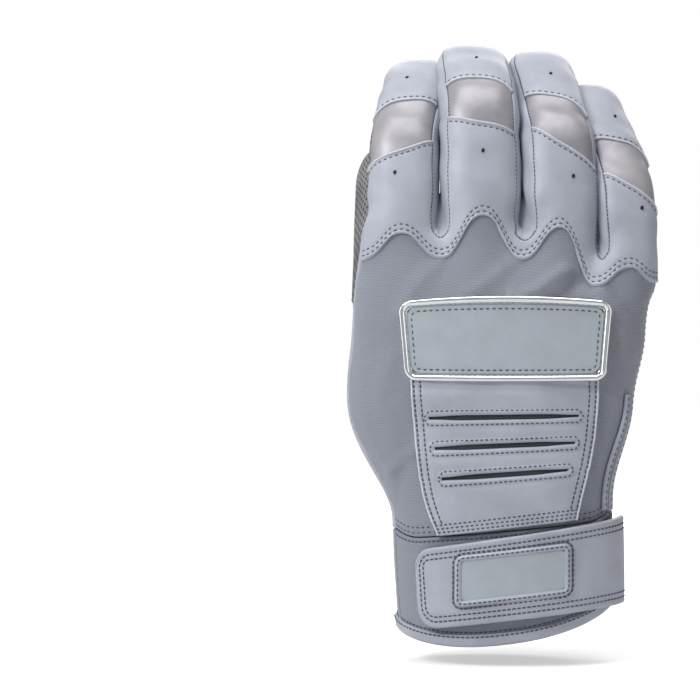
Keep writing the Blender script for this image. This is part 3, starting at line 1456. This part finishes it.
# A line drawn on the flex panel's face from corner to corner
def flex_line(corners):
    outer = PANELS["flex_panel"]["outer"].reshape(-1, 3)
    normal = PANELS["flex_panel"]["normal"].reshape(-1, 3)
    path = []
    for (x0, z0), (x1, z1) in zip(corners[:-1], corners[1:]):
        n = max(2, int(math.hypot(x1 - x0, z1 - z0) / 0.6))
        path += [(mix(x0, x1, k / n), mix(z0, z1, k / n)) for k in range(n)]
    path.append(corners[-1])
    points, normals = [], []
    for x, z in path:
        high = z + x * float(slope(z))
        k = int(np.argmin((outer[:, 0] - x) ** 2 + (outer[:, 2] - high) ** 2))
        p, n = outer[k], normal[k]
        y = p[1] - ((x - p[0]) * n[0] + (high - p[2]) * n[2]) / n[1]
        points.append((x, y, high))
        normals.append(n)
    return np.array(points), np.array(normals)


make_flex()


# Moulded badges: a bead swept round a rounded rectangle, and the plate inside it
PATH_COUNT = 200
ROUND_BEAD = [
    (0.0, -0.3), (0.0, 0.4), (0.03, 0.62), (0.1, 0.82), (0.2, 0.94), (0.32, 1.0), (0.46, 1.0),
    (0.58, 0.94), (0.7, 0.82), (0.8, 0.66), (0.88, 0.5), (0.94, 0.42), (1.0, 0.4), (1.0, -0.3),
]
LOW_BEAD = [
    (0.0, -0.3), (0.0, 0.35), (0.1, 0.75), (0.28, 1.0), (0.5, 1.05), (0.72, 0.95), (0.88, 0.65),
    (1.0, 0.4), (1.0, -0.3),
]
BADGE = dict(x=0.9, z=103.4, width=71.0, height=27.6, corner=4.2, rim=2.9)
BADGE_HALF, BADGE_Y, BADGE_BOW, BADGE_LEAN, BADGE_SPREAD = 35.0, -18.7, 2.3, 0.03, 0.0026
BADGE_ARCH, BADGE_ARCH_RUN = (1.5, 0.35), 12.0


def rounded_path(width, height, corner):
    w, h = width / 2 - corner, height / 2 - corner
    arc = math.pi / 2 * corner
    legs = [2 * w, arc, 2 * h, arc] * 2
    corners = [(-w, -h), (w, -h), (w, h), (-w, h)]
    points, outs = [], []
    for k in range(PATH_COUNT):
        d = k * sum(legs) / PATH_COUNT
        leg = 0
        while d > legs[leg]:
            d -= legs[leg]
            leg += 1
        side, bend = divmod(leg, 2)
        q = -math.pi / 2 + side * math.pi / 2
        x, z = corners[(side + bend) % 4]
        if bend:
            q += d / corner
        else:
            along = [(1, 0), (0, 1), (-1, 0), (0, -1)][side]
            x, z = x + along[0] * d, z + along[1] * d
        points.append((x + corner * math.cos(q), z + corner * math.sin(q)))
        outs.append((math.cos(q), math.sin(q)))
    return np.array(points), np.array(outs)


def bead(name, b, rise, seat, material, profile):
    path, outs = rounded_path(b["width"], b["height"], b["corner"])
    n, m = len(path), len(profile)
    points, faces = [], []
    for (x, z), (ox, oz) in zip(path, outs):
        for across, up in profile:
            inward = across * b["rim"]
            base, normal = seat(b["x"] + x - ox * inward, b["z"] + z - oz * inward)
            points.append(base + normal * (up * rise))
    for k in range(n):
        after = (k + 1) % n
        for j in range(m):
            i = (j + 1) % m
            faces.append((after * m + j, after * m + i, k * m + i, k * m + j))
    return link_mesh(name, np.array(points), faces, material)


def plate_grid(b, width, height, corner, seat, pitch=0.9):
    V, U = np.meshgrid(steps(height, pitch), steps(width, pitch), indexing="ij")
    x = (U - 0.5) * width
    past = np.clip((np.abs(x) - (width / 2 - corner)) / corner, 0, 1)
    half = height / 2 - corner * (1 - np.sqrt(1 - past ** 2))
    z = (V - 0.5) * 2 * half
    grid = np.empty(x.shape + (3,))
    for i in np.ndindex(x.shape):
        grid[i] = seat(b["x"] + x[i], b["z"] + z[i])[0]
    return grid


# A closed line round a rounded rectangle, at a height over its seat
def seated_line(b, width, height, corner, seat, lift):
    path, _ = rounded_path(width, height, corner)
    path = np.concatenate([path, path[:1]])
    seats = [seat(b["x"] + x, b["z"] + z) for x, z in path]
    return np.array([p + n * lift for p, n in seats]), np.array([n for _, n in seats])


def badge_seat(x, z):
    rise = z - BADGE["z"]
    x = BADGE["x"] + (x - BADGE["x"]) * (1 + BADGE_SPREAD * rise)
    t = (x - BADGE["x"]) / BADGE_HALF
    y = BADGE_Y + BADGE_BOW * t * t + BADGE_LEAN * rise
    arch = BADGE_ARCH[0 if rise > 0 else 1] * (1 - t * t)
    n = unit(np.array([2 * BADGE_BOW * t / BADGE_HALF, -1.0, BADGE_LEAN]))
    return np.array([x, y, z + arch * rise / BADGE_ARCH_RUN]), n


def make_badge():
    b = BADGE
    obj = bead("badge_frame", b, 2.5, badge_seat, CHROME, ROUND_BEAD)
    ride_hand(obj, "bright_trim", "badge_frame")
    w, h = b["width"] - 2 * b["rim"] + 0.3, b["height"] - 2 * b["rim"] + 0.3
    grid = plate_grid(b, w, h, 3.0, badge_seat)
    obj = panel("badge_plate", grid, (0, 10, 105), PLATE, thick=1.2, lift=1.35, roll=EVEN_ROLL,
                settles=0, grooves=[(edge, d, 0.12) for edge, d in enumerate((1.5, 1.5, 1.3, 1.3))])
    ride_hand(obj, "badge_plate", "badge_plate")
    line = seated_line(b, w - 2.8, h - 2.6, 2.2, badge_seat, 1.3)
    ride_hand(stitches("badge_thread", [line]), "dark_elastic")


make_badge()


# Cuff: two knit bands, the bound hem, the lining and the loop pad
CUFF_CENTRE = (0, 0, 25)
HEM_RISE, HEM_POWER, HEM_HEIGHT = 9, 1.3, 4.4
CUFF_ROWS = (
    ("cuff_back_band", 3, 1.3), ("cuff_back_band", 2, 1.0), ("cuff_palm_band", 2, 1.0),
    ("cuff_palm_band", 0, 2.2), ("cuff_hem_binding", 3, 0.9),
)


def hem_line(angle):
    return HEM_RISE * (1 - np.abs(np.sin(np.radians(angle))) ** HEM_POWER)


def hem_top(angle):
    return hem_line(angle) + HEM_HEIGHT


def band_low(angle):
    return hem_line(angle) + 4.0


def lining_low(angle):
    return band_low(angle) + 3


def make_cuff():
    angle, z, grid = hand_grid(196.5, 345, band_low, cuff_top, 118, 36, 1.3)
    obj = panel("cuff_back_band", grid, CUFF_CENTRE, STRETCH, thick=1.2, lift=0.1,
                grooves=((3, 1.3, 0.15),),
                relief=0.18 * np.sin(angle / 4.0) * smooth((z - 30) / 15))
    ride_hand(obj, "stretch_knit", "cuff_back_band")
    angle, z, grid = hand_grid(-12, 196, band_low, cuff_top, 150, 36, 1.2)
    beside = np.maximum(np.abs(grid[..., 0]) - 22, 0)
    around = np.hypot(beside, np.maximum(np.abs(z - PATCH["z"]) - 9.5, 0))
    puff = 0.5 * np.exp(-((around - 1.5) / 1.4) ** 2) * (grid[..., 1] > 5)
    obj = panel("cuff_palm_band", grid, CUFF_CENTRE, HEATHER, thick=1.2, lift=0.1,
                relief=puff + 0.15 * np.sin(angle / 5.0), grooves=((0, 2.2, 0.2),))
    ride_hand(obj, "heather_knit", "cuff_palm_band")
    _, _, grid = hand_grid(-12, 345, hem_line, hem_top, 240, HEM_HEIGHT, 1.0)
    obj = panel("cuff_hem_binding", grid, (0, 0, 12), LEATHER, thick=2.4, lift=0.95,
                roll=(0.5, 0.5, 1.1, 0.8), settles=1)
    ride_hand(obj, "leather", "cuff_hem_binding")
    _, _, grid = hand_grid(6, 174, lining_low, CUFF_TOP + 5, 116, 37, 2.0)
    obj = panel("cuff_lining", grid, CUFF_CENTRE, LINING, thick=0.9, lift=-1.6, roll=EVEN_ROLL)
    ride_hand(obj, "lining", "cuff_lining")
    _, _, grid = hand_grid(228, 326, 13.5, 32, 62, 18, 1.5)
    obj = panel("loop_pad", grid, CUFF_CENTRE, LOOP, thick=0.9, lift=1.2, roll=EVEN_ROLL)
    ride_hand(obj, "loop_pile", "loop_pad")
    lines = [inset_line(*row) for row in CUFF_ROWS]
    ride_hand(stitches("cuff_thread", lines, *LINE_STITCH), "dark_elastic")


make_cuff()


# Wrist strap with its hook pad and badge
STRAP_OUT = 4.2
STRAP_FREE, STRAP_ROOT = 225, 354
STRAP_LOW, STRAP_HIGH = 8.3, 35.6
STRAP_LIFT = 3.0
STRAP_CORNERS = (8.0, 6.0)
STRAP_RUN = 88.0
STRAP_ROWS = (2.2, 3.7)
STRAP_BADGE = dict(x=3.2, z=23.6, width=37.0, height=17.6, corner=2.6, rim=2.2)


def strap_run(angle):
    return (angle - STRAP_FREE) / (STRAP_ROOT - STRAP_FREE)


def strap_cut(angle, corner):
    short = 1 - np.clip(strap_run(angle) * STRAP_RUN / corner, 0, 1)
    return corner * (1 - np.sqrt(1 - short * short))


# The strap's outer face at an angle round the wrist and a height
def strap_spot(angle, height):
    p = PANELS["wrist_strap"]
    layers = [p["z"]] + [p[part][..., i] for part in ("outer", "normal") for i in range(3)]
    column = []
    for row, turn in enumerate(p["angle"]):
        column.append([np.interp(angle, turn, layer[row]) for layer in layers])
    column = np.array(column)
    spot = [np.interp(height, column[:, 0], column[:, i]) for i in range(1, 7)]
    return spot[:3], spot[3:]


# A sewn line round three sides of the strap, with rounded corners
def strap_line(inset):
    low, high = STRAP_CORNERS
    path = [(run, STRAP_LOW + inset) for run in np.linspace(STRAP_RUN - 0.5, low, 120)]
    for q in np.linspace(0, math.pi / 2, 12)[1:]:
        out = low - inset
        path.append((low - out * math.sin(q), STRAP_LOW + low - out * math.cos(q)))
    for height in np.linspace(STRAP_LOW + low, STRAP_HIGH - high, 20)[1:]:
        path.append((inset, height))
    for q in np.linspace(0, math.pi / 2, 9)[1:]:
        out = high - inset
        path.append((high - out * math.cos(q), STRAP_HIGH - high + out * math.sin(q)))
    path += [(run, STRAP_HIGH - inset) for run in np.linspace(high, STRAP_RUN - 0.5, 120)[1:]]
    turn = (STRAP_ROOT - STRAP_FREE) / STRAP_RUN
    spots = []
    for run, height in path:
        share = (height - STRAP_LOW) / (STRAP_HIGH - STRAP_LOW)
        height = height + share * STRAP_LIFT * run / STRAP_RUN
        spots.append(strap_spot(STRAP_FREE + run * turn, height))
    return np.array([p for p, _ in spots]), unit(np.array([n for _, n in spots]))


# A point on one side of the hand form, lifted off it, and the direction it faces
def form_seat(x, z, side, out):
    high = z + x * float(slope(z))
    base = on_back(np.array([x]), np.array([high]), side)[0]
    edge = on_back(np.array([x - 1.0, x + 1.0]), np.array([high, high]), side)
    n = unit(np.cross(edge[1] - edge[0], (0, 0, 1.0)))
    n = n if n[1] * side > 0 else -n
    return base + n * out, n


def strap_seat(x, z):
    return form_seat(x, z, -1, STRAP_OUT)


def strap_low(angle):
    return STRAP_LOW + strap_cut(angle, STRAP_CORNERS[0])


def strap_high(angle):
    return STRAP_HIGH + STRAP_LIFT * strap_run(angle) - strap_cut(angle, STRAP_CORNERS[1])


def ride_strap(obj, slot, *nodes):
    named(obj, slot, *nodes)
    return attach(obj, "strap")


def make_strap():
    angle, z, grid = hand_grid(STRAP_FREE, STRAP_ROOT, strap_low, strap_high, STRAP_RUN, 27.5, 1.1)
    grooves = [(edge, row, 0.24) for edge in (2, 3) for row in STRAP_ROWS]
    obj = panel("wrist_strap", grid, CUFF_CENTRE, LEATHER, thick=1.5, lift=STRAP_OUT,
                roll=(0.8, 0.5, 0.8, 0.8), grooves=grooves,
                relief=0.25 * np.sin(angle / 11.0 + z / 13.0))
    PANELS["wrist_strap"].update(angle=angle, z=z)
    ride_strap(obj, "leather", "wrist_strap")
    _, _, grid = hand_grid(230, 300, 14.5, 31, 48, 16, 1.5)
    obj = panel("strap_hook_pad", grid, CUFF_CENTRE, HOOK, thick=0.9, lift=2.45, roll=EVEN_ROLL)
    ride_strap(obj, "hook_tape", "strap_hook_pad")
    lines = [strap_line(row) for row in STRAP_ROWS]
    b = STRAP_BADGE
    obj = bead("strap_badge_frame", b, 1.1, strap_seat, RIM, LOW_BEAD)
    ride_strap(obj, "badge_rim", "strap_badge_frame")
    w, h = b["width"] - 2 * b["rim"] + 0.4, b["height"] - 2 * b["rim"] + 0.4
    grid = plate_grid(b, w, h, 1.6, strap_seat)
    obj = panel("strap_badge_plate", grid, (0, 10, 25), PLATE, thick=0.8, lift=0.45,
                roll=(0.25, 0.25, 0.25, 0.25), settles=0)
    ride_strap(obj, "badge_plate", "strap_badge_plate")
    for extra, lift in ((1.2, 0.05), (-2.0, 1.05)):
        w, h = b["width"] + extra, b["height"] + extra
        lines.append(seated_line(b, w, h, b["corner"] + extra / 2, strap_seat, lift))
    ride_strap(stitches("strap_thread", lines, *LINE_STITCH), "dark_elastic")


make_strap()


# Moulded patch on the palm side of the cuff
def patch_seat(x, z):
    return form_seat(x, z, 1, 0.0)


def make_patch():
    p = PATCH
    grid = plate_grid(p, p["width"], p["height"], p["corner"], patch_seat, 0.8)
    across, up = run_lengths(grid, 1), run_lengths(grid, 0)
    edge = np.minimum(across, across[:, -1:] - across)
    edge = np.minimum(edge, np.minimum(up, up[-1:] - up))
    obj = panel("palm_patch", grid, (0, -10, 27), RUBBER, thick=1.5, lift=1.9,
                relief=-0.55 * smooth((edge - 1.4) / 0.9), settles=0)
    ride_hand(obj, "patch_rubber", "palm_patch")
    line = seated_line(p, p["width"] - 5.2, p["height"] - 5.2, 1.6, patch_seat, 1.35)
    row = stitches("patch_thread", [line], pitch=1.7, length=1.1, radius=0.18)
    ride_hand(row, "dark_elastic")


make_patch()


# Thumb: its dark palm leather comes to a point low on the outer side
THUMB_FACE = (8.0, 232.0)
THUMB_POINT = (186.0, 27.0)
THUMB_OVERLAP, THUMB_EASE = 6.0, 22.0
THUMB_TAIL = (112.0, 17.0)
THUMB_OVER = 0.8
THUMB_SUNK, SUNK_HALF, SUNK_FADE, SUNK_LOW = 275.0, 58.0, 36.0, 6.0
ROOT_HIGH, ROOT_LOW, ROOT_LEAST = 44.0, -26.0, -24


# How high a point stands over the hand form; below zero it is inside
def over_form(point):
    place, normal = FORM.find_nearest(Vector(point))[:2]
    return place, (Vector(point) - place).dot(normal)


def outside_form(points):
    out, above = points.copy(), np.zeros(points.shape[:-1])
    for i in np.ndindex(above.shape):
        place, above[i] = over_form(points[i])
        if above[i] < 0:
            out[i], above[i] = place, 0.0
    return out, above


# The line where the thumb comes out of the hand
def thumb_root():
    angles = np.arange(0, 360, 5.0)
    found = []
    for a in angles:
        runs = np.arange(ROOT_HIGH, ROOT_LOW, -0.5)
        inside = (s for s in runs if over_form(tube(THUMB, a, s))[1] < 0)
        found.append(next(inside, ROOT_LOW))
    found = np.array(found)
    for _ in range(6):
        found = found * 0.5 + (np.roll(found, 1) + np.roll(found, -1)) * 0.25
    angles, found = np.append(angles, 360), np.append(found, found[0])

    def root(angle):
        return np.interp(np.mod(angle, 360), angles, found)

    return root


def make_thumb_pieces():
    f = THUMB
    root = thumb_root()

    def sunk(angle):
        off = np.abs(np.mod(angle - THUMB_SUNK + 180, 360) - 180)
        return 1 - smooth((off - SUNK_HALF) / SUNK_FADE)

    def low(angle):
        point = np.maximum(0, np.cos(np.radians(angle - THUMB_TAIL[0]))) ** 3
        flap = np.maximum(root(angle), ROOT_LEAST) - THUMB_OVERLAP - THUMB_TAIL[1] * point
        return mix(flap, np.minimum(flap, SUNK_LOW), sunk(angle))

    def point_line(angle):
        near, far = THUMB_FACE
        at, height = THUMB_POINT
        a = np.mod(angle - near, 360) + near
        rise = np.clip(np.abs(a - at) / np.where(a > at, far - at, at - near), 0, 1) ** 0.8
        line = mix(np.maximum(height, low(angle) + 4), f["joint"] - 0.5, rise)
        return np.where(a <= far, line, f["joint"])

    joint, tip_end, wrapped = map(as_line, (f["joint"], f["end"] - 0.05, f["end"] + 1.6))
    centre, tip_centre = spine_point(f, 20), spine_point(f, 70)
    base, ends = [], []

    def sew(name, angles, bottom, top, size, material, slot, lift, crowd):
        palm, tip = material is PALM, name.startswith("thumb_tip")
        pitch = 0.55 if palm else 1.1
        angle, s, grid, _ = tube_grid(f, *angles, bottom, top, *size, pitch, crowd)
        relief, uv = 0.18 * np.sin(s / 4.0 + np.radians(angle) * 3), None
        if not tip:
            rise = smooth((s - low(angle)) / THUMB_EASE)
            flap, above = outside_form(mix(lay(grid), grid, rise[..., None]))
            grid = mix(flap, grid, sunk(angle)[..., None])
            on_hand = np.exp(-((above / 1.5) ** 2)) * (1 - sunk(angle))
            relief = mix(relief, THUMB_OVER, on_hand)
        if palm:
            uv = swirl(np.radians(angle) * f["width"] / 2, s)
            relief = -dimple_depth(uv)
        roll = (0.6, 0.6, 0 if palm or tip else 0.8, 0.5 if tip else 0)
        obj = panel(name, grid, tip_centre if tip else centre, material, lift=lift, roll=roll,
                    relief=relief, uv=uv, settles=1)
        (ends if tip else base).append(named(obj, slot, name))

    near, far = THUMB_FACE
    sew("thumb_base_back", (far, far + 360), low, point_line, (78, 50), LEATHER, "leather", 0.3,
        ENDS_ONLY)
    sew("thumb_base_palm", (near, far), point_line, joint, (42, 18), PALM, "palm_leather", 0.5,
        NOT_ABOVE)
    sew("thumb_tip_palm", (near, far), joint, tip_end, (42, 40), PALM, "palm_leather", 0.5,
        NOT_BELOW)
    sew("thumb_tip_back", (far, near + 360), joint, wrapped, (34, 40), LEATHER, "leather", 0.3,
        NOT_BELOW)
    rows = [inset_line("thumb_base_palm", 2, 0.5), inset_line("thumb_base_back", 2, 1.4)]
    base.append(named(stitches("thumb_base_thread", rows), "dark_elastic"))
    rows = [inset_line("thumb_tip_palm", edge, 0.5) for edge in (0, 1)]
    ends.append(named(stitches("thumb_tip_thread", rows), "dark_elastic"))
    for obj in base:
        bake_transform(obj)
    for obj in ends:
        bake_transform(obj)


make_thumb_pieces()


# Studio: pale floor, soft light and the camera
def make_floor():
    bpy.ops.object.select_all(action="DESELECT")
    bpy.ops.mesh.primitive_plane_add(size=8, location=(0, 0, FLOOR_Z))
    floor = bpy.context.object
    floor.name = "floor"
    bpy.ops.object.transform_apply(location=True, rotation=True, scale=True)
    m, tree, shader = new_material("floor", 0.9)
    shader.inputs["Base Color"].default_value = (0.8, 0.8, 0.8, 1)
    ray = node(tree, "ShaderNodeLightPath").outputs["Is Camera Ray"]
    away = vectors(tree, "LENGTH", object_place(tree), output="Value")
    brighter = {"Value": away, "From Min": 0.08, "From Max": 0.6, "To Min": 0.5, "To Max": 0.9}
    level = node(tree, "ShaderNodeMapRange", brighter).outputs[0]
    shader.inputs["Emission Color"].default_value = (1, 1, 1, 1)
    tree.links.new(maths(tree, "MULTIPLY", ray, level), shader.inputs["Emission Strength"])
    floor.data.materials.append(m)


def make_world():
    world = bpy.context.scene.world or bpy.data.worlds.new("studio")
    bpy.context.scene.world = world
    world.use_nodes = True
    tree = world.node_tree
    tree.nodes.clear()
    path = node(tree, "ShaderNodeLightPath").outputs
    seen = maths(tree, "MAXIMUM", path["Is Camera Ray"], path["Is Transmission Ray"])
    glossy = {"Value": path["Is Glossy Ray"], "To Min": 0.14, "To Max": 0.42}
    mirrored = node(tree, "ShaderNodeMapRange", glossy).outputs[0]
    soft, white = (node(tree, "ShaderNodeBackground", {"Color": (1, 1, 1, 1), "Strength": level})
                   for level in (mirrored, 1.0))
    both = node(tree, "ShaderNodeMixShader", {0: seen, 1: soft.outputs[0], 2: white.outputs[0]})
    tree.links.new(both.outputs[0], node(tree, "ShaderNodeOutputWorld").inputs[0])


def make_lamp(name, at, aim, size, watts):
    data = bpy.data.lights.new(name, "AREA")
    data.shape = "RECTANGLE"
    data.size, data.size_y = size
    data.energy = watts
    lamp = bpy.data.objects.new(name, data)
    bpy.context.scene.collection.objects.link(lamp)
    lamp.location = at
    lamp.rotation_euler = (Vector(aim) - Vector(at)).to_track_quat("-Z", "Y").to_euler()


make_floor()
make_world()
make_lamp("key", (-0.62, -0.62, 0.75), (0, 0, 0.11), (0.4, 0.4), 7.2)
make_lamp("fill", (0.8, -0.6, 0.3), (0, 0, 0.1), (0.4, 0.8), 1.1)
make_lamp("top", (0.0, -0.12, 1.0), (0, 0, 0.1), (0.7, 0.4), 5.0)
make_lamp("left", (-0.9, -0.12, 0.25), (0, 0, 0.1), (0.25, 0.7), 1.6)
make_lamp("rim", (0.1, 0.8, 0.7), (0, 0, 0.12), (0.9, 0.4), 4.5)
camera = bpy.data.objects.new("camera", bpy.data.cameras.new("camera"))
camera.data.lens = LENS
camera.data.clip_start = 0.01
camera.location = CAMERA_AT
camera.rotation_euler = (Vector(CAMERA_AIM) - Vector(CAMERA_AT)).to_track_quat("-Z", "Y").to_euler()
bpy.context.scene.collection.objects.link(camera)
bpy.context.scene.camera = camera
bpy.context.scene.view_settings.view_transform = "Standard"

bpy.context.view_layer.update()
